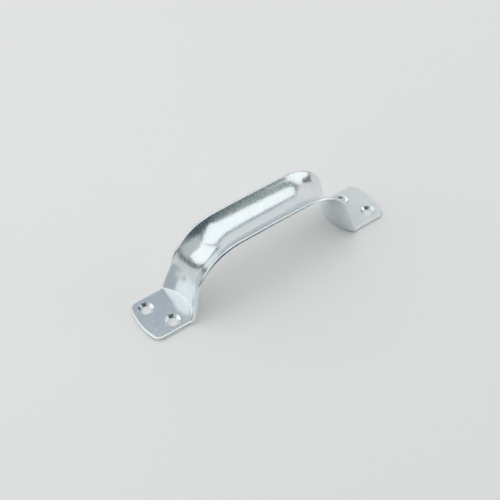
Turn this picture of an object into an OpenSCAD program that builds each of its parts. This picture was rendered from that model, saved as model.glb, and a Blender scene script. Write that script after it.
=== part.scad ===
// Utility pull handle for a gate, shed door or heavy drawer.
// One strip of steel sheet, pressed: two flat feet, two leaning legs and a grip between them.
// Legs and grip are dished along their middle, so the strip is a shallow channel whose rims
// face away from the fingers and whose rounded back is what the hand holds.
// Each leg meets its foot along a curved crease, because a dished leg can't fold on a straight line.
// The cut edge is eased on both its corners, in one closed band round the whole strip.
// Frame: +X runs along the handle, +Z points away from the door, the feet rest on z = 0
// and the origin lies midway between them.

/* [Strip] */
// Overall length, from foot end to foot end
length = 165; // [150:1:260]
// Width of the feet
foot_width = 30; // [27:0.5:34]
// Width of the grip, narrower because the dish draws the edges in
grip_width = 25; // [22:0.2:27]
// Thickness of the sheet
sheet = 1.9; // [1.5:0.1:3]
// Rounding of the cut edges
edge_ease = 0.6; // [0.2:0.1:0.7]

/* [Grip and legs] */
// Height of the rims above the door, at mid length
rim_height = 44.7; // [42:0.1:60]
// Lean of the legs away from upright, in degrees
leg_lean = 16.5; // [8:0.5:24]
// Bend radius from leg to grip, at the rims
shoulder_radius = 30.5; // [24:0.5:34]
// Gentle crown of the grip along its length, as a radius
crown_radius = 900; // [300:10:1500]
// Depth of the dish along the middle of the strip
dish_depth = 6; // [3:0.2:7]
// Bend radius between a foot and its leg
crease_radius = 1.3; // [1:0.1:2]

/* [Feet] */
// Distance from a foot's end to its crease, along the strip's edge
foot_length = 24; // [22:0.5:27]
// How far the end of a foot bows out between its corners
end_bow = 3; // [1:0.1:5]
// Radius of the corners of a foot
corner_radius = 5; // [3:0.5:7]

/* [Screw holes] */
// Screw hole diameter
hole_d = 5.3; // [4:0.1:5.8]
// Countersink diameter at the face of the foot
countersink_d = 8.6; // [7.4:0.1:9]
// Included angle of the countersink, in degrees
countersink_angle = 90; // [82:1:100]
// Distance between the two screw holes of a foot, along the handle
hole_step = 7.8; // [6:0.2:9]
// Distance between the two screw holes of a foot, across the handle
hole_spread = 15.4; // [13:0.2:16.4]
// Distance from a foot's end to its outer screw hole
hole_inset = 8.9; // [8:0.1:10]

/* [Finish] */
// Colour of the zinc plating
zinc_color = "#C3C8CC"; // [#C3C8CC:bright zinc, #B9BDC0:dull zinc, #2E2F31:black]

/* [Hidden] */

// How finely the pressed shell is divided
across_steps = 24;
crease_steps = 4;
leg_steps = 9;
shoulder_steps = 14;
crown_steps = 7;
end_steps = 12;
corner_steps = 5;
ease_steps = 2;
hole_facets = 64;

// Cutters run past the faces they cut by this much
eps = 0.05;

foot_half = foot_width / 2;
grip_half = grip_width / 2;
end_x = length / 2;
crease_x = end_x - foot_length;
leg_angle = 90 - leg_lean;

// The rim seen from the side: a leg line, a shoulder arc and the crown arc, each tangent to the next
leg_dir = [-cos(leg_angle), sin(leg_angle)];
leg_in = [-sin(leg_angle), -cos(leg_angle)];
crown_center = [0, rim_height - crown_radius];
leg_origin = [crease_x, sheet];
offset_origin = leg_origin + leg_in * shoulder_radius;
gap = offset_origin - crown_center;
reach = crown_radius - shoulder_radius;
leg_length = -gap * leg_dir + sqrt(pow(gap * leg_dir, 2) - gap * gap + reach * reach);
shoulder_center = offset_origin + leg_dir * leg_length;
leg_normal_angle = 90 - leg_angle;
crown_edge_angle = atan2(shoulder_center.y - crown_center.y, shoulder_center.x - crown_center.x);
crease_reach = crease_radius * tan(leg_angle / 2);

// The end of a foot: a shallow bow between two corner arcs
bow_radius = (foot_half * foot_half + end_bow * end_bow) / (2 * end_bow);
bow_x = end_x - bow_radius;
corner_y = foot_half - corner_radius;
corner_x = bow_x + sqrt(pow(bow_radius - corner_radius, 2) - corner_y * corner_y);
corner_end_angle = atan2(corner_y, corner_x - bow_x);

// Screw holes, the same when the handle is turned half round
outer_hole_x = end_x - hole_inset;
inner_hole_x = outer_hole_x - hole_step;
sink_depth = (countersink_d - hole_d) / 2 / tan(countersink_angle / 2);

function smooth(t) = t * t * (3 - 2 * t);
function polar(c, r, a) = [c.x + r * cos(a), c.y + r * sin(a)];

// The strip narrows from foot to grip over the length of the leg
function half_width(t) = foot_half + (grip_half - foot_half) * smooth(t);

// Columns across the strip: the first and the last are its true edges, and the face between them
// stops short of the edges by their rounding
last_col = across_steps + 2;
columns = [0:last_col];

// The dish is an arc across the strip: its half angle and radius, and the turn, place and depth at a column
function dish_angle(w) = 2 * atan(dish_depth / w);
function dish_radius(w) = w / sin(dish_angle(w));
function dish_turn(w, j) =
    j == 0 ? -dish_angle(w)
    : j == last_col ? dish_angle(w)
    : asin((w - edge_ease) / dish_radius(w)) * (2 * (j - 1) / across_steps - 1);
function dish_y(w, j) = dish_radius(w) * sin(dish_turn(w, j));
function dish_sink(w, j) = dish_radius(w) * (cos(dish_turn(w, j)) - cos(dish_angle(w)));

// A line of the shell across the strip: the point at each column, sunk below the rim by the dish
function crease_row(t) = [
    for (j = columns)
        let (sink = dish_sink(foot_half, j) / sin(leg_angle), a = t * leg_angle)
            [crease_x - sink + crease_reach - crease_radius * sin(a),
             dish_y(foot_half, j),
             sheet + crease_radius * (1 - cos(a))]
];

// On the leg each line starts where the crease arc ends and runs to the shoulder
function leg_row(t) =
    let (w = half_width(t))
        [for (j = columns)
            let (sink = dish_sink(w, j),
                 low = leg_origin + [-sink / sin(leg_angle), 0] + leg_dir * crease_reach,
                 high = leg_origin + leg_dir * leg_length + leg_in * sink,
                 p = low * (1 - t) + high * t)
                [p.x, dish_y(w, j), p.y]];

function arc_row(center, radius, a) = [
    for (j = columns)
        let (p = polar(center, radius - dish_sink(grip_half, j), a)) [p.x, dish_y(grip_half, j), p.y]
];

function shoulder_row(t) =
    arc_row(shoulder_center, shoulder_radius, leg_normal_angle + (crown_edge_angle - leg_normal_angle) * t);

function crown_row(t) = arc_row(crown_center, crown_radius, crown_edge_angle + (90 - crown_edge_angle) * t);

// Lines from the crease of the +X leg up to mid length, then the same mirrored down to the other crease
half_rows = concat(
    [for (i = [0:crease_steps]) crease_row(i / crease_steps)],
    [for (i = [1:leg_steps]) leg_row(i / leg_steps)],
    [for (i = [1:shoulder_steps]) shoulder_row(i / shoulder_steps)],
    [for (i = [1:crown_steps]) crown_row(i / crown_steps)]
);
half_count = len(half_rows);
rows = concat(
    half_rows,
    [for (i = [half_count - 2:-1:0]) [for (p = half_rows[i]) [-p.x, p.y, p.z]]]
);
last_row = len(rows) - 1;

// The sheet's normal at a place on the face, level where the shell joins a flat foot
function unit(v) = v / norm(v);
function shell_normal(i, j) =
    (i == 0 || i == last_row)
        ? [0, 0, 1]
        : unit(cross(rows[i][j + 1] - rows[i][j - 1], rows[i + 1][j] - rows[i - 1][j]));

face_columns = [1:last_col - 1];
face_points = [for (i = [0:last_row]) for (j = face_columns) rows[i][j]];
back_points = [for (i = [0:last_row]) for (j = face_columns) rows[i][j] - shell_normal(i, j) * sheet];

// The end of the +X foot, from its -Y side round to its +Y side, moved inwards by an inset
function corner_turn(i) = i * (90 - corner_end_angle) / corner_steps;
function foot_outline(inset) = concat(
    [for (i = [0:corner_steps])
        polar([corner_x, -corner_y], corner_radius - inset, corner_turn(i) - 90)],
    [for (i = [1:end_steps - 1])
        polar([bow_x, 0], bow_radius - inset, corner_end_angle * (2 * i / end_steps - 1))],
    [for (i = [0:corner_steps])
        polar([corner_x, corner_y], corner_radius - inset, corner_end_angle + corner_turn(i))]
);
foot_edge = foot_outline(0);
foot_inner = foot_outline(edge_ease);
edge_count = len(foot_edge);

// A place on a foot, which is the same when the handle is turned half round: side 0 is the +X foot
function foot_place(side, p, z) = side == 0 ? [p.x, p.y, z] : [-p.x, -p.y, z];
foot_points = [for (side = [0, 1]) for (z = [sheet, 0]) for (p = foot_inner) foot_place(side, p, z)];

grid_count = len(face_points);
function face_at(i, j) = i * (last_col - 1) + j - 1;
function back_at(i, j) = grid_count + face_at(i, j);
function foot_at(side, level, k) = 2 * grid_count + (2 * side + level) * edge_count + k;

// Faces are listed clockwise as seen from outside
shell_faces = [
    for (i = [0:last_row - 1]) for (j = [1:last_col - 2]) each [
        [face_at(i, j), face_at(i, j + 1), face_at(i + 1, j)],
        [face_at(i, j + 1), face_at(i + 1, j + 1), face_at(i + 1, j)],
        [back_at(i, j), back_at(i + 1, j), back_at(i, j + 1)],
        [back_at(i, j + 1), back_at(i + 1, j), back_at(i + 1, j + 1)]
    ]
];

// A foot's two flat faces run from its rounded end to the curved crease
function crease_loop(side, level) = [
    for (k = [0:across_steps])
        let (i = side == 0 ? 0 : last_row, j = side == 0 ? last_col - 1 - k : 1 + k)
            level == 0 ? face_at(i, j) : back_at(i, j)
];
function reversed(list) = [for (k = [len(list) - 1:-1:0]) list[k]];
function foot_face(side, level) =
    concat([for (k = [0:edge_count - 1]) foot_at(side, level, k)], crease_loop(side, level));
foot_faces = [for (side = [0, 1]) each [reversed(foot_face(side, 0)), foot_face(side, 1)]];

// Stations of the cut edge, once round the strip: its face and back points, inner place, edge and normal
function foot_stations(side) = [
    for (k = [0:edge_count - 1])
        [foot_at(side, 0, k), foot_at(side, 1, k),
         foot_place(side, foot_inner[k], sheet), foot_place(side, foot_edge[k], sheet), [0, 0, 1]]
];
function rim_station(i, j, edge_j) =
    [face_at(i, j), back_at(i, j), rows[i][j], rows[i][edge_j], shell_normal(i, j)];
stations = concat(
    foot_stations(0),
    [for (i = [0:last_row]) rim_station(i, last_col - 1, last_col)],
    foot_stations(1),
    [for (i = [last_row:-1:0]) rim_station(i, 1, 0)]
);

// At each station the edge is eased by two arcs, one below the face and one above the back
function eased_point(station, a, depth) =
    station[2] + (station[3] - station[2]) * sin(a) - station[4] * depth;
function eased_edge(station) = concat(
    [for (k = [1:ease_steps])
        let (a = 90 * k / ease_steps) eased_point(station, a, edge_ease * (1 - cos(a)))],
    [for (k = [ease_steps:-1:1])
        let (a = 90 * k / ease_steps) eased_point(station, a, sheet - edge_ease * (1 - cos(a)))]
);
edge_points = [for (station = stations) each eased_edge(station)];
edge_start = 2 * grid_count + len(foot_points);
function edge_at(s, k) =
    k == 0 ? stations[s][0]
    : k > 2 * ease_steps ? stations[s][1]
    : edge_start + s * 2 * ease_steps + k - 1;
edge_faces = [
    for (s = [0:len(stations) - 1])
        let (n = (s + 1) % len(stations))
            for (k = [0:2 * ease_steps]) each [
                [edge_at(s, k), edge_at(n, k), edge_at(s, k + 1)],
                [edge_at(n, k), edge_at(n, k + 1), edge_at(s, k + 1)]
            ]
];

module screw_hole(x, y) {
    translate([x, y, -eps])
        cylinder(h = sheet + 2 * eps, d = hole_d, $fn = hole_facets);
    translate([x, y, sheet - sink_depth])
        cylinder(h = sink_depth, d1 = hole_d, d2 = countersink_d, $fn = hole_facets);
    translate([x, y, sheet])
        cylinder(h = eps, d = countersink_d, $fn = hole_facets);
}

module pressed_shell() {
    polyhedron(
        points = concat(face_points, back_points, foot_points, edge_points),
        faces = concat(shell_faces, foot_faces, edge_faces),
        convexity = 6
    );
}

module pull_handle() {
    color(zinc_color)
        difference() {
            pressed_shell();
            for (side = [1, -1]) {
                screw_hole(side * outer_hole_x, -side * hole_spread / 2);
                screw_hole(side * inner_hole_x, side * hole_spread / 2);
            }
        }
}

pull_handle();
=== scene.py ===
# Utility pull handle: one pressed strip of bright zinc plated steel, on a pale studio floor.
# The strip starts as a flat grid, is pressed to shape, given its thickness, has its cut edges eased
# and its countersunk screw holes punched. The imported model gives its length.

import math

import bmesh
import bpy
from mathutils import Matrix, Vector


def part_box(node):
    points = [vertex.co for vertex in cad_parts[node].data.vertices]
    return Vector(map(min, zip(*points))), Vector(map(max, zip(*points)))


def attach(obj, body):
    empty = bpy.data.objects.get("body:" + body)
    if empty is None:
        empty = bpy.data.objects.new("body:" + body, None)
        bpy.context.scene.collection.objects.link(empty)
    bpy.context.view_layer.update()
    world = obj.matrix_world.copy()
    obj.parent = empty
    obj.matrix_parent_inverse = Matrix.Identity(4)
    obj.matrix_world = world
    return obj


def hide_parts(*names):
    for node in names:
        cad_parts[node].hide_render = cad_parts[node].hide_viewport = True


bl_info = {
    "name": "Utility Pull Handle",
    "version": (1, 0, 0),
    "blender": (4, 5, 0),
    "location": "View3D > Sidebar > Pull Handle",
    "description": "Models a pressed pull handle in bright zinc and the studio it stands in",
    "category": "Object",
}

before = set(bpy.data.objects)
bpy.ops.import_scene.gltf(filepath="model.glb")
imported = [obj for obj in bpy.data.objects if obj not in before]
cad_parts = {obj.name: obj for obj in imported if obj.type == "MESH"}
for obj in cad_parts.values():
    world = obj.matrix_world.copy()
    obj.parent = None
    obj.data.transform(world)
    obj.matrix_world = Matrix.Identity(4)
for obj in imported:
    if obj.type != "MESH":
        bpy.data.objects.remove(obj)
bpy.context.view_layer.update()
HANDLE_LOW, HANDLE_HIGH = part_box("pull_handle")
MM = 0.001

# Allowances of the making, which don't show
MERGE = 0.0001 * MM
SLIVER = 0.002 * MM
FLAT_SLACK = 0.001 * MM
PUNCH_REACH = 1 * MM

# Easing of the screw holes' rims
RIM_EASE = 0.12 * MM

# Room for the bevels, in widths of the bevel: the column along each cut edge, the ring round each foot
EDGE_COLUMN = 1.6
FOOT_RING = 1.5

# Edges that turn by more than this are cut edges
CUT_EDGE_TURN = math.radians(60)

# Sizes of the studio in metres
FLOOR_REACH = 4.0
ROOM_WIDTH = 12
SOFTBOX_DISTANCE = 1.1

# Radiance of the large lamps, where 1 shows as white, and tints of the lamps and cards
LAMP = 1.18
COOL = (0.965, 1.0, 1.0)
PAPER = (0.985, 1.0, 1.0)
BLUISH = (0.93, 1.04, 1.15)
ROOM_TINT = (0.94, 1.0, 1.0)


def length_prop(name, description, millimetres):
    return bpy.props.FloatProperty(
        name=name,
        description=description,
        default=millimetres * MM,
        min=0.0,
        precision=5,
        subtype="DISTANCE",
        unit="LENGTH",
    )


def angle_prop(name, description, degrees):
    return bpy.props.FloatProperty(
        name=name,
        description=description,
        default=math.radians(degrees),
        subtype="ANGLE",
        unit="ROTATION",
    )


def color_prop(name, description, color):
    return bpy.props.FloatVectorProperty(
        name=name, description=description, default=color, min=0.0, max=1.0, size=3, subtype="COLOR"
    )


class PullSizes(bpy.types.PropertyGroup):
    """Sizes of the pressed strip and its screw holes"""

    length: length_prop("Length", "From foot end to foot end", (HANDLE_HIGH.x - HANDLE_LOW.x) / MM)
    rim_height: length_prop(
        "Rim height", "Height of the rims at mid length, before their edges are eased", 44.7
    )
    foot_width: length_prop("Foot width", "Width of the feet", 30)
    grip_width: length_prop("Grip width", "Width of the grip across its rims", 25)
    sheet: length_prop("Sheet", "Thickness of the sheet", 1.9)
    leg_lean: angle_prop("Leg lean", "Lean of the legs away from upright", 16.5)
    shoulder_radius: length_prop("Shoulder radius", "Bend radius from leg to grip", 30.5)
    crown_radius: length_prop("Crown radius", "Gentle bow of the grip along its length", 900)
    dish_depth: length_prop("Dish depth", "Depth of the dish along the strip's middle", 6)
    crease_radius: length_prop("Crease radius", "Bend radius between foot and leg", 1.3)
    foot_length: length_prop("Foot length", "From a foot's end to its crease at the edge", 24)
    end_bow: length_prop("End bow", "How far a foot's end bows out", 3)
    corner_radius: length_prop("Corner radius", "Radius of the corners of a foot", 5)
    eased_face: length_prop("Eased face edge", "Rounding of the cut edges on the outer face", 0.82)
    eased_back: length_prop("Eased back edge", "Rounding of the cut edges on the door side", 0.6)
    hole_width: length_prop("Hole width", "Diameter of a screw hole", 5.3)
    countersink_width: length_prop(
        "Countersink width", "Diameter of a countersink at the foot's face", 8.6
    )
    hole_step: length_prop("Hole step", "Distance between a foot's holes along the handle", 7.8)
    hole_spread: length_prop("Hole spread", "Distance between a foot's holes across the handle", 15.4)
    hole_inset: length_prop("Hole inset", "From a foot's end to its outer hole", 8.9)


class PullFinish(bpy.types.PropertyGroup):
    """Colours of the plating and of the studio"""

    zinc: color_prop("Zinc", "Colour of the bright zinc plating", (0.742, 0.797, 0.836))
    zinc_warm: color_prop(
        "Zinc tint", "Faint warmer tint that drifts over the plating", (0.812, 0.828, 0.832)
    )
    floor: color_prop("Floor", "Colour of the floor", (0.94, 0.922, 0.905))
    backdrop: color_prop("Backdrop", "Pale background behind the floor's far edge", (0.75, 0.75, 0.75))
    wall: color_prop("Studio wall", "Grey walls that the metal reflects", (0.335, 0.38, 0.372))
    shade: color_prop(
        "Studio shade", "Dark open side of the room, on the camera's side", (0.088, 0.117, 0.134)
    )


class Strip:
    """Where each place of the flat strip goes when it is pressed

    Rows run along it from each foot's end to the middle, and v runs across it from -1 to 1.
    """

    FOOT_ROWS = 14
    CREASE_ROWS = 10
    LEG_ROWS = 26
    SHOULDER_ROWS = 60
    CROWN_ROWS = 34
    COLUMNS = 72

    def __init__(self, sizes):
        self.sizes = sizes
        self.foot_half = sizes.foot_width / 2
        self.grip_half = sizes.grip_width / 2
        self.end_x = sizes.length / 2
        self.crease_x = self.end_x - sizes.foot_length
        self.leg_angle = math.pi / 2 - sizes.leg_lean
        self.leg_dir = Vector((-math.cos(self.leg_angle), math.sin(self.leg_angle)))
        self.leg_in = Vector((-math.sin(self.leg_angle), -math.cos(self.leg_angle)))
        self.leg_origin = Vector((self.crease_x, sizes.sheet))
        self.crown_center = Vector((0, sizes.rim_height - sizes.crown_radius))
        # The leg ends where one shoulder arc is tangent to it and to the crown
        offset = self.leg_origin + self.leg_in * sizes.shoulder_radius
        gap = offset - self.crown_center
        reach = sizes.crown_radius - sizes.shoulder_radius
        along = gap.dot(self.leg_dir)
        self.leg_length = -along + math.sqrt(along**2 - gap.dot(gap) + reach**2)
        self.shoulder_center = offset + self.leg_dir * self.leg_length
        self.shoulder_start = math.pi / 2 - self.leg_angle
        to_center = self.shoulder_center - self.crown_center
        self.crown_start = math.atan2(to_center.y, to_center.x)
        self.crease_reach = sizes.crease_radius * math.tan(self.leg_angle / 2)
        bow = sizes.end_bow
        self.bow_radius = (self.foot_half**2 + bow**2) / (2 * bow)
        self.bow_x = self.end_x - self.bow_radius
        self.corner_y = self.foot_half - sizes.corner_radius
        corner_reach = self.bow_radius - sizes.corner_radius
        self.corner_x = self.bow_x + math.sqrt(corner_reach**2 - self.corner_y**2)
        self.corner_angle = math.atan2(self.corner_y, self.corner_x - self.bow_x)
        self.half_rows = (
            self.FOOT_ROWS + self.CREASE_ROWS + self.LEG_ROWS + self.SHOULDER_ROWS + self.CROWN_ROWS
        )

    def half_width(self, t):
        """Half the strip's width at a share of the way up the leg"""
        return self.foot_half + (self.grip_half - self.foot_half) * t * t * (3 - 2 * t)

    def dish(self, half, v):
        """How far out and how far below the rim a place across the dish lies"""
        angle = 2 * math.atan(self.sizes.dish_depth / half)
        radius = half / math.sin(angle)
        return radius * math.sin(v * angle), radius * (math.cos(v * angle) - math.cos(angle))

    def foot_end(self, v):
        """A place on the rounded end of a foot: corner arc, bow, corner arc"""
        side = 1 if v >= 0 else -1
        corner_turn = math.pi / 2 - self.corner_angle
        corner_run = self.sizes.corner_radius * corner_turn
        bow_run = self.bow_radius * self.corner_angle
        run = abs(v) * (corner_run + bow_run)
        if run <= bow_run:
            a = run / self.bow_radius
            return Vector((
                self.bow_x + self.bow_radius * math.cos(a),
                side * self.bow_radius * math.sin(a),
            ))
        a = self.corner_angle + (run - bow_run) / self.sizes.corner_radius
        return Vector((
            self.corner_x + self.sizes.corner_radius * math.cos(a),
            side * (self.corner_y + self.sizes.corner_radius * math.sin(a)),
        ))

    def crease(self, turn, v):
        """A place on the bend out of the foot, with turn from 0 at the foot to 1 at the leg"""
        y, sink = self.dish(self.foot_half, v)
        a = turn * self.leg_angle
        x = self.crease_x - sink / math.sin(self.leg_angle) + self.crease_reach
        return Vector((
            x - self.sizes.crease_radius * math.sin(a),
            y,
            self.sizes.sheet + self.sizes.crease_radius * (1 - math.cos(a)),
        ))

    def leg(self, t, v):
        """A place on the leg, with t from 0 at the crease to 1 at the shoulder"""
        y, sink = self.dish(self.half_width(t), v)
        low = self.leg_origin + self.leg_dir * self.crease_reach
        low.x -= sink / math.sin(self.leg_angle)
        high = self.leg_origin + self.leg_dir * self.leg_length + self.leg_in * sink
        p = low.lerp(high, t)
        return Vector((p.x, y, p.y))

    def arc(self, center, radius, angle, v):
        """A place on a bend of the rims about a centre, with the dish sunk towards that centre"""
        y, sink = self.dish(self.grip_half, v)
        r = radius - sink
        return Vector((center.x + r * math.cos(angle), y, center.y + r * math.sin(angle)))

    def pressed(self, row, v):
        """Where a place on the +X half goes, with row 0 at the foot's end"""
        if row <= self.FOOT_ROWS:
            start = self.crease(0, v)
            end = self.foot_end(v)
            p = end.lerp(start.xy, row / self.FOOT_ROWS)
            return Vector((p.x, p.y, self.sizes.sheet))
        row -= self.FOOT_ROWS
        if row <= self.CREASE_ROWS:
            return self.crease(row / self.CREASE_ROWS, v)
        row -= self.CREASE_ROWS
        if row <= self.LEG_ROWS:
            return self.leg(row / self.LEG_ROWS, v)
        row -= self.LEG_ROWS
        if row <= self.SHOULDER_ROWS:
            t = row / self.SHOULDER_ROWS
            angle = self.shoulder_start + (self.crown_start - self.shoulder_start) * t
            return self.arc(self.shoulder_center, self.sizes.shoulder_radius, angle, v)
        t = (row - self.SHOULDER_ROWS) / self.CROWN_ROWS
        angle = self.crown_start + (math.pi / 2 - self.crown_start) * t
        return self.arc(self.crown_center, self.sizes.crown_radius, angle, v)

    def place(self, x, v):
        """Where a place of the flat blank goes, with x from -1 to 1 along it"""
        row = round((1 - abs(x)) * self.half_rows)
        column = 2 / self.COLUMNS
        if abs(v) < 1 - column / 2:
            v *= (1 - EDGE_COLUMN * self.sizes.eased_face / self.foot_half) / (1 - column)
        p = self.pressed(row, v)
        p.x = math.copysign(p.x, x) if row < self.half_rows else 0.0
        return p


def press_blank(bm, strip):
    """The flat blank as a grid, each place moved to where pressing puts it"""
    bmesh.ops.create_grid(bm, x_segments=2 * strip.half_rows, y_segments=strip.COLUMNS, size=1)
    for vert in bm.verts:
        vert.co = strip.place(vert.co.x, vert.co.y)
    bmesh.ops.recalc_face_normals(bm, faces=bm.faces)
    if max(bm.faces, key=lambda f: f.calc_center_median().z).normal.z < 0:
        bmesh.ops.reverse_faces(bm, faces=bm.faces)


def plain_feet(bm, sizes):
    """Makes the grid of each foot one flat face with a ring round it"""
    flat = sizes.sheet + FLAT_SLACK
    foot_faces = [f for f in bm.faces if max(v.co.z for v in f.verts) < flat]
    feet = bmesh.ops.dissolve_faces(bm, faces=foot_faces)["region"]
    ring = FOOT_RING * sizes.eased_face
    bmesh.ops.inset_region(bm, faces=feet, thickness=ring, use_even_offset=True, use_boundary=True)


def thicken(bm, sheet):
    """Gives the strip its thickness and hands back the points of its door side"""
    solid = bmesh.ops.solidify(bm, geom=bm.faces, thickness=sheet)
    bmesh.ops.recalc_face_normals(bm, faces=bm.faces)
    return {g for g in solid["geom"] if isinstance(g, bmesh.types.BMVert)}


def cut_edges(bm, verts):
    """The sharp edges all round one side of the strip"""
    around = (e for e in bm.edges if e.verts[0] in verts and e.verts[1] in verts and e.is_manifold)
    return [e for e in around if e.calc_face_angle() > CUT_EDGE_TURN]


def ease_edges(bm, sharp, width):
    """Rounds the cut edges"""
    bmesh.ops.bevel(
        bm,
        geom=sharp,
        offset=width,
        offset_type="OFFSET",
        segments=4,
        profile=0.5,
        affect="EDGES",
        clamp_overlap=True,
        material=-1,
    )


def countersink_punch(bm, sizes, x, y):
    """The tool that leaves one countersunk hole, as a profile spun round the hole's axis

    No point of it lies on the foot's back or face, where it widens on a slope that eases the rims.
    """
    hole = sizes.hole_width / 2
    rim = sizes.countersink_width / 2
    top = sizes.sheet
    profile = (
        (hole + 2 * RIM_EASE, -PUNCH_REACH),
        (hole + 2 * RIM_EASE, -RIM_EASE),
        (hole, RIM_EASE),
        (hole, top - (rim - hole)),
        (rim - RIM_EASE, top - RIM_EASE),
        (rim + RIM_EASE * 0.8, top + RIM_EASE * 0.1),
        (rim + RIM_EASE, top + PUNCH_REACH),
    )
    verts = [bm.verts.new((x + r, y, z)) for r, z in profile]
    edges = [bm.edges.new(pair) for pair in zip(verts, verts[1:])]
    bmesh.ops.spin(
        bm,
        geom=verts + edges,
        cent=(x, y, 0),
        axis=(0, 0, 1),
        angle=2 * math.pi,
        steps=72,
        use_merge=True,
    )


def punch_tool(sizes):
    """All four punches as one closed mesh"""
    bm = bmesh.new()
    outer = sizes.length / 2 - sizes.hole_inset
    inner = outer - sizes.hole_step
    half = sizes.hole_spread / 2
    for side in (1, -1):
        countersink_punch(bm, sizes, side * outer, -side * half)
        countersink_punch(bm, sizes, side * inner, side * half)
    bmesh.ops.remove_doubles(bm, verts=bm.verts, dist=MERGE)
    bmesh.ops.holes_fill(bm, edges=[e for e in bm.edges if e.is_boundary], sides=0)
    bmesh.ops.recalc_face_normals(bm, faces=bm.faces)
    return object_from(bm, "punch")


def object_from(bm, name):
    """Puts the modelled mesh in the scene as an object at the origin"""
    mesh = bpy.data.meshes.new(name)
    bm.to_mesh(mesh)
    bm.free()
    obj = bpy.data.objects.new(name, mesh)
    bpy.context.scene.collection.objects.link(obj)
    return obj


def punch_holes(obj, tool):
    """Takes the punches out of the strip and keeps the result as its mesh"""
    cut = obj.modifiers.new("punch", "BOOLEAN")
    cut.operation = "DIFFERENCE"
    cut.solver = "EXACT"
    cut.object = tool
    evaluated = obj.evaluated_get(bpy.context.evaluated_depsgraph_get())
    cut_mesh = bpy.data.meshes.new_from_object(evaluated)
    bm = bmesh.new()
    bm.from_mesh(cut_mesh)
    bmesh.ops.dissolve_degenerate(bm, edges=bm.edges, dist=SLIVER)
    bm.to_mesh(cut_mesh)
    bm.free()
    blank_mesh = obj.data
    obj.modifiers.clear()
    obj.data = cut_mesh
    bpy.data.meshes.remove(blank_mesh)
    bpy.data.objects.remove(tool)
    cut_mesh.name = obj.name


def shade_smooth(mesh, sharp_degrees):
    """Smooth shading, except across edges sharper than an angle"""
    mesh.shade_smooth()
    mesh.set_sharp_from_angle(angle=math.radians(sharp_degrees))


def new_material(name):
    """A new material with its node tree and its shader"""
    material = bpy.data.materials.new(name)
    material.use_nodes = True
    tree = material.node_tree
    return material, tree, tree.nodes["Principled BSDF"]


def noise_node(tree, coords, scale, detail, roughness):
    """A noise pattern that is fixed to the piece, with its scale per metre"""
    noise = tree.nodes.new("ShaderNodeTexNoise")
    noise.inputs["Scale"].default_value = scale
    noise.inputs["Detail"].default_value = detail
    noise.inputs["Roughness"].default_value = roughness
    tree.links.new(coords.outputs["Object"], noise.inputs["Vector"])
    return noise.outputs["Fac"]


def range_node(tree, value, start, end, low=0.0, high=1.0):
    """Goes from low to high while the value goes from start to end"""
    node = tree.nodes.new("ShaderNodeMapRange")
    node.inputs["From Min"].default_value = start
    node.inputs["From Max"].default_value = end
    node.inputs["To Min"].default_value = low
    node.inputs["To Max"].default_value = high
    tree.links.new(value, node.inputs["Value"])
    return node


def ramp_node(tree, value, *stops):
    """Blends two colours, each given as the value that it starts at and the colour"""
    ramp = tree.nodes.new("ShaderNodeValToRGB")
    for element, (position, color) in zip(ramp.color_ramp.elements, stops):
        element.position = position
        element.color = (*color, 1)
    tree.links.new(value, ramp.inputs["Fac"])
    return ramp.outputs["Color"]


def bump_node(tree, height, depth, under=None):
    """A relief of a depth in metres, on top of another one where that is given"""
    bump = tree.nodes.new("ShaderNodeBump")
    bump.inputs["Strength"].default_value = 1.0
    bump.inputs["Distance"].default_value = depth
    tree.links.new(height, bump.inputs["Height"])
    if under is not None:
        tree.links.new(under, bump.inputs["Normal"])
    return bump.outputs["Normal"]


def math_node(tree, operation, first, second):
    """Works out one value from two"""
    node = tree.nodes.new("ShaderNodeMath")
    node.operation = operation
    tree.links.new(first, node.inputs[0])
    tree.links.new(second, node.inputs[1])
    return node.outputs["Value"]


def vector_node(tree, operation, vector):
    """Works out a vector or a value from a vector"""
    node = tree.nodes.new("ShaderNodeVectorMath")
    node.operation = operation
    tree.links.new(vector, node.inputs[0])
    return node


def bright_zinc(finish):
    """Bright zinc plating: smooth steel with a faint orange-peel, fine grain and a drifting tint"""
    material, tree, shader = new_material("bright_zinc")
    shader.inputs["Metallic"].default_value = 1.0
    coords = tree.nodes.new("ShaderNodeTexCoord")

    drift = noise_node(tree, coords, scale=75, detail=6, roughness=0.72)
    tint = ramp_node(tree, drift, (0.4, finish.zinc), (0.6, finish.zinc_warm))
    tree.links.new(tint, shader.inputs["Base Color"])

    # The haze is coarser where the sheet is drawn to shape than on the flat feet
    place = tree.nodes.new("ShaderNodeSeparateXYZ")
    tree.links.new(coords.outputs["Object"], place.inputs[0])
    drawn = range_node(tree, place.outputs["Z"], start=4 * MM, end=22 * MM, low=0.21, high=0.3)
    haze = noise_node(tree, coords, scale=1000, detail=3, roughness=0.7)
    rough = range_node(tree, haze, start=0.4, end=0.64, low=0.12)
    tree.links.new(drawn.outputs["Result"], rough.inputs["To Max"])
    tree.links.new(rough.outputs["Result"], shader.inputs["Roughness"])

    peel = noise_node(tree, coords, scale=420, detail=2, roughness=0.5)
    grain = noise_node(tree, coords, scale=1500, detail=3, roughness=0.7)
    wave = bump_node(tree, peel, depth=0.00003)
    speck = bump_node(tree, grain, depth=0.000016, under=wave)
    tree.links.new(speck, shader.inputs["Normal"])
    return material


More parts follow.
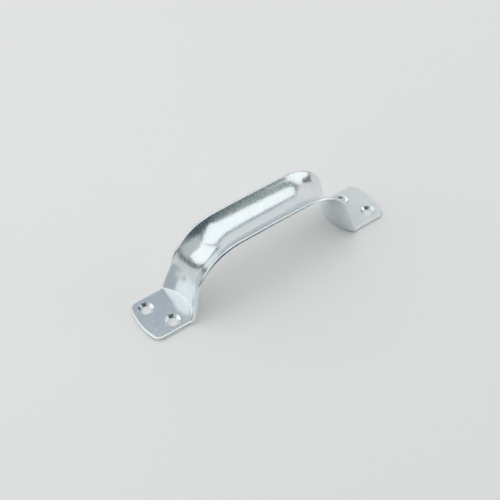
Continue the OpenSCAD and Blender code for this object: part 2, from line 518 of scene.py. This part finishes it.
def floor_material(finish):
    """Pale matt sheet that fades into the backdrop away from the handle, for the eye and the metal"""
    material, tree, shader = new_material("pale_floor")
    shader.inputs["Base Color"].default_value = (*finish.floor, 1)
    shader.inputs["Roughness"].default_value = 0.9
    shader.inputs["Specular IOR Level"].default_value = 0.2
    coords = tree.nodes.new("ShaderNodeTexCoord")
    away = vector_node(tree, "LENGTH", coords.outputs["Object"])
    fade = range_node(tree, away.outputs["Value"], start=0.3, end=1.1)
    fade.interpolation_type = "SMOOTHSTEP"
    rays = tree.nodes.new("ShaderNodeLightPath")
    seen = rays.outputs["Is Camera Ray"]
    for ray in ("Is Glossy Ray", "Is Transmission Ray"):
        seen = math_node(tree, "MAXIMUM", seen, rays.outputs[ray])
    share = math_node(tree, "MULTIPLY", fade.outputs["Result"], seen)
    glow = tree.nodes.new("ShaderNodeEmission")
    glow.inputs["Color"].default_value = (*finish.backdrop, 1)
    mix = tree.nodes.new("ShaderNodeMixShader")
    tree.links.new(share, mix.inputs["Fac"])
    tree.links.new(shader.outputs[0], mix.inputs[1])
    tree.links.new(glow.outputs[0], mix.inputs[2])
    tree.links.new(mix.outputs[0], tree.nodes["Material Output"].inputs["Surface"])
    return material


def direction(azimuth, elevation):
    """Unit vector with azimuth in degrees from +X towards +Y"""
    a, e = math.radians(azimuth), math.radians(elevation)
    return Vector((math.cos(e) * math.cos(a), math.cos(e) * math.sin(a), math.sin(e)))


def glowing(bm, name):
    """An opaque piece that only light and reflections see, with its node tree and its glow"""
    piece = object_from(bm, name)
    material = bpy.data.materials.new(name)
    material.use_nodes = True
    tree = material.node_tree
    tree.nodes.clear()
    out = tree.nodes.new("ShaderNodeOutputMaterial")
    glow = tree.nodes.new("ShaderNodeEmission")
    tree.links.new(glow.outputs[0], out.inputs["Surface"])
    piece.data.materials.append(material)
    piece.visible_camera = False
    return piece, tree, glow


def glowing_panel(bm, name, radiance, color):
    """A glowing piece of one plain colour"""
    panel, _, glow = glowing(bm, name)
    glow.inputs["Color"].default_value = (*color, 1)
    glow.inputs["Strength"].default_value = radiance
    return panel


def softbox(name, aim, size, radiance, color, turn=0):
    """A soft rectangular panel that faces the handle

    aim is its azimuth and elevation and turn is how far it is turned about that line, in degrees.
    size is its width and height per metre of distance.
    """
    out = direction(*aim)
    place = Matrix.Translation(out * SOFTBOX_DISTANCE) @ out.to_track_quat("Z", "Y").to_matrix().to_4x4()
    place = place @ Matrix.Rotation(math.radians(turn), 4, "Z")
    width, height = (side * SOFTBOX_DISTANCE for side in size)
    bm = bmesh.new()
    bmesh.ops.create_grid(
        bm, x_segments=1, y_segments=1, size=0.5, matrix=place @ Matrix.Diagonal((width, height, 1, 1))
    )
    glowing_panel(bm, name, radiance, color)


def ceiling_panel(name, height, corners, radiance, color):
    """A level panel overhead; its corners are per metre of height"""
    bm = bmesh.new()
    verts = [bm.verts.new((x * height, y * height, height)) for x, y in corners]
    bmesh.ops.contextual_create(bm, geom=verts)
    glowing_panel(bm, name, radiance, color)


def painted_floor_shade(name, corners, radiance):
    """A dim sheet laid on the lit floor that only reflections see: painted shade in the metal's mirror
    image of the floor
    """
    bm = bmesh.new()
    bmesh.ops.contextual_create(bm, geom=[bm.verts.new((x, y, MM)) for x, y in corners])
    gap = glowing_panel(bm, name, radiance, ROOM_TINT)
    # The floor under the sheet stays lit and unshaded; only reflections get the painted shade
    gap.visible_diffuse = False
    gap.visible_shadow = False


def pale_floor(finish):
    """The sheet that the handle stands on"""
    bm = bmesh.new()
    bmesh.ops.create_grid(bm, x_segments=1, y_segments=1, size=FLOOR_REACH)
    floor = object_from(bm, "floor")
    floor.data.materials.append(floor_material(finish))


def hang_lamps():
    """The soft lamps, as the plating mirrors them"""
    corners = (
        (0.816, -0.099), (0.67, 0.42), (0.36, 0.50), (0.12, 0.64),
        (-0.15, 0.82), (-0.38, 0.90), (-0.82, -0.03), (0.026, -0.706),
    )
    ceiling_panel("overhead_lamp", height=1.3, corners=corners, radiance=LAMP, color=COOL)
    softbox("left_lamp", aim=(145.4, 25.3), turn=14.4, size=(1.33, 0.92), radiance=LAMP, color=COOL)
    softbox("right_lamp", aim=(-29.2, 20), turn=-5, size=(0.765, 0.78), radiance=LAMP, color=COOL)
    softbox("front_fill", aim=(299.5, 4.5), size=(0.19, 0.18), radiance=1.12, color=COOL)


def stand_cards():
    """The backdrop paper, the cards, the dark gap beside them and sheets of painted shade on the floor,
    all as the plating mirrors them
    """
    softbox("back_panel", aim=(46, 24.6), turn=7.3, size=(1.96, 0.94), radiance=0.79, color=PAPER)
    softbox("upper_back_panel", aim=(70, 53), size=(0.62, 0.18), radiance=0.43, color=BLUISH)
    softbox("side_panel", aim=(202, 24.7), turn=9.9, size=(0.70, 0.92), radiance=0.60, color=ROOM_TINT)
    softbox("right_gap", aim=(-4.5, 9), size=(0.23, 0.42), radiance=0.12, color=COOL)
    left = ((-0.10, 0.14), (-0.17, -0.14), (-1.2, -1.4), (-1.5, 0.2), (-0.6, 1.5))
    # Dim sheets on the floor that only reflections see: painted shade in the metal's mirror image of the
    # lit floor
    painted_floor_shade("left_painted_floor_shade", left, radiance=0.2)
    right = ((0.32, -0.09), (0.32, 0.03), (1.3, 0.12), (1.3, -0.30))
    painted_floor_shade("right_painted_floor_shade", right, radiance=0.14)


def studio_walls(finish):
    """The room round the stage: grey walls with a dark open side, on the camera's side"""
    bm = bmesh.new()
    bmesh.ops.create_cube(bm, size=ROOM_WIDTH)
    walls, tree, glow = glowing(bm, "studio_walls")
    coords = tree.nodes.new("ShaderNodeTexCoord")
    outward = vector_node(tree, "NORMALIZE", coords.outputs["Object"])
    facing = vector_node(tree, "DOT_PRODUCT", outward.outputs["Vector"])
    facing.inputs[1].default_value = direction(azimuth=263, elevation=31)
    # The stops are cosines of the angle from the middle of the open side
    color = ramp_node(tree, facing.outputs["Value"], (0.775, finish.wall), (0.93, finish.shade))
    tree.links.new(color, glow.inputs["Color"])


def backdrop_world(finish):
    """The pale backdrop behind everything"""
    world = bpy.data.worlds.new("backdrop")
    bpy.context.scene.world = world
    world.use_nodes = True
    world.node_tree.nodes["Background"].inputs["Color"].default_value = (*finish.backdrop, 1)


def photo_camera():
    """The photograph's view: where it stands, which way it looks and its lens"""
    forward = direction(azimuth=54.28, elevation=-49.575)
    target = Vector((-0.57, 9.96, 0)) * MM
    distance_mm = 597.3
    focal_pixels = 1022.8
    photo_pixels = 500
    data = bpy.data.cameras.new("photo_camera")
    data.lens = focal_pixels / photo_pixels * data.sensor_width
    data.shift_x = data.shift_y = -0.001
    camera = bpy.data.objects.new("photo_camera", data)
    stand = Matrix.Translation(target - forward * distance_mm * MM)
    camera.matrix_world = stand @ forward.to_track_quat("-Z", "Y").to_matrix().to_4x4()
    bpy.context.scene.collection.objects.link(camera)
    bpy.context.scene.camera = camera


class PULL_OT_handle(bpy.types.Operator):
    """Model the pressed strip with its punched holes and plate it"""

    bl_idname = "pull.handle"
    bl_label = "Pressed handle"
    bl_options = {"REGISTER", "UNDO"}

    def execute(self, context):
        sizes = context.scene.pull_sizes
        bm = bmesh.new()
        press_blank(bm, Strip(sizes))
        plain_feet(bm, sizes)
        face = set(bm.verts)
        back = thicken(bm, sizes.sheet)
        back_edges = cut_edges(bm, back)
        ease_edges(bm, cut_edges(bm, face), sizes.eased_face)
        ease_edges(bm, back_edges, sizes.eased_back)
        handle = object_from(bm, "pressed_pull")
        punch_holes(handle, punch_tool(sizes))
        shade_smooth(handle.data, sharp_degrees=25)
        handle.data.materials.clear()
        handle.data.materials.append(bright_zinc(context.scene.pull_finish))
        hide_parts("pull_handle")
        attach(handle, "root")
        return {"FINISHED"}


class PULL_OT_stage(bpy.types.Operator):
    """Lay the pale floor, hang the soft lamps, stand the cards and set the camera"""

    bl_idname = "pull.stage"
    bl_label = "Studio"
    bl_options = {"REGISTER", "UNDO"}

    def execute(self, context):
        finish = context.scene.pull_finish
        pale_floor(finish)
        hang_lamps()
        stand_cards()
        studio_walls(finish)
        backdrop_world(finish)
        photo_camera()
        context.scene.view_settings.view_transform = "Standard"
        return {"FINISHED"}


class PULL_PT_panel(bpy.types.Panel):
    """Sizes, colours and steps of the pull handle"""

    bl_label = "Pull Handle"
    bl_idname = "PULL_PT_panel"
    bl_space_type = "VIEW_3D"
    bl_region_type = "UI"
    bl_category = "Pull Handle"

    def draw(self, context):
        layout = self.layout
        layout.operator("pull.handle")
        layout.operator("pull.stage")
        for group in (context.scene.pull_sizes, context.scene.pull_finish):
            box = layout.box()
            for name in group.bl_rna.properties.keys():
                if name not in ("rna_type", "name"):
                    box.prop(group, name)


CLASSES = (PullSizes, PullFinish, PULL_OT_handle, PULL_OT_stage, PULL_PT_panel)


def register():
    for cls in CLASSES:
        bpy.utils.register_class(cls)
    bpy.types.Scene.pull_sizes = bpy.props.PointerProperty(type=PullSizes)
    bpy.types.Scene.pull_finish = bpy.props.PointerProperty(type=PullFinish)


def unregister():
    del bpy.types.Scene.pull_finish
    del bpy.types.Scene.pull_sizes
    for cls in reversed(CLASSES):
        bpy.utils.unregister_class(cls)


def main():
    register()
    bpy.ops.pull.handle()
    bpy.ops.pull.stage()


if __name__ == "__main__":
    main()
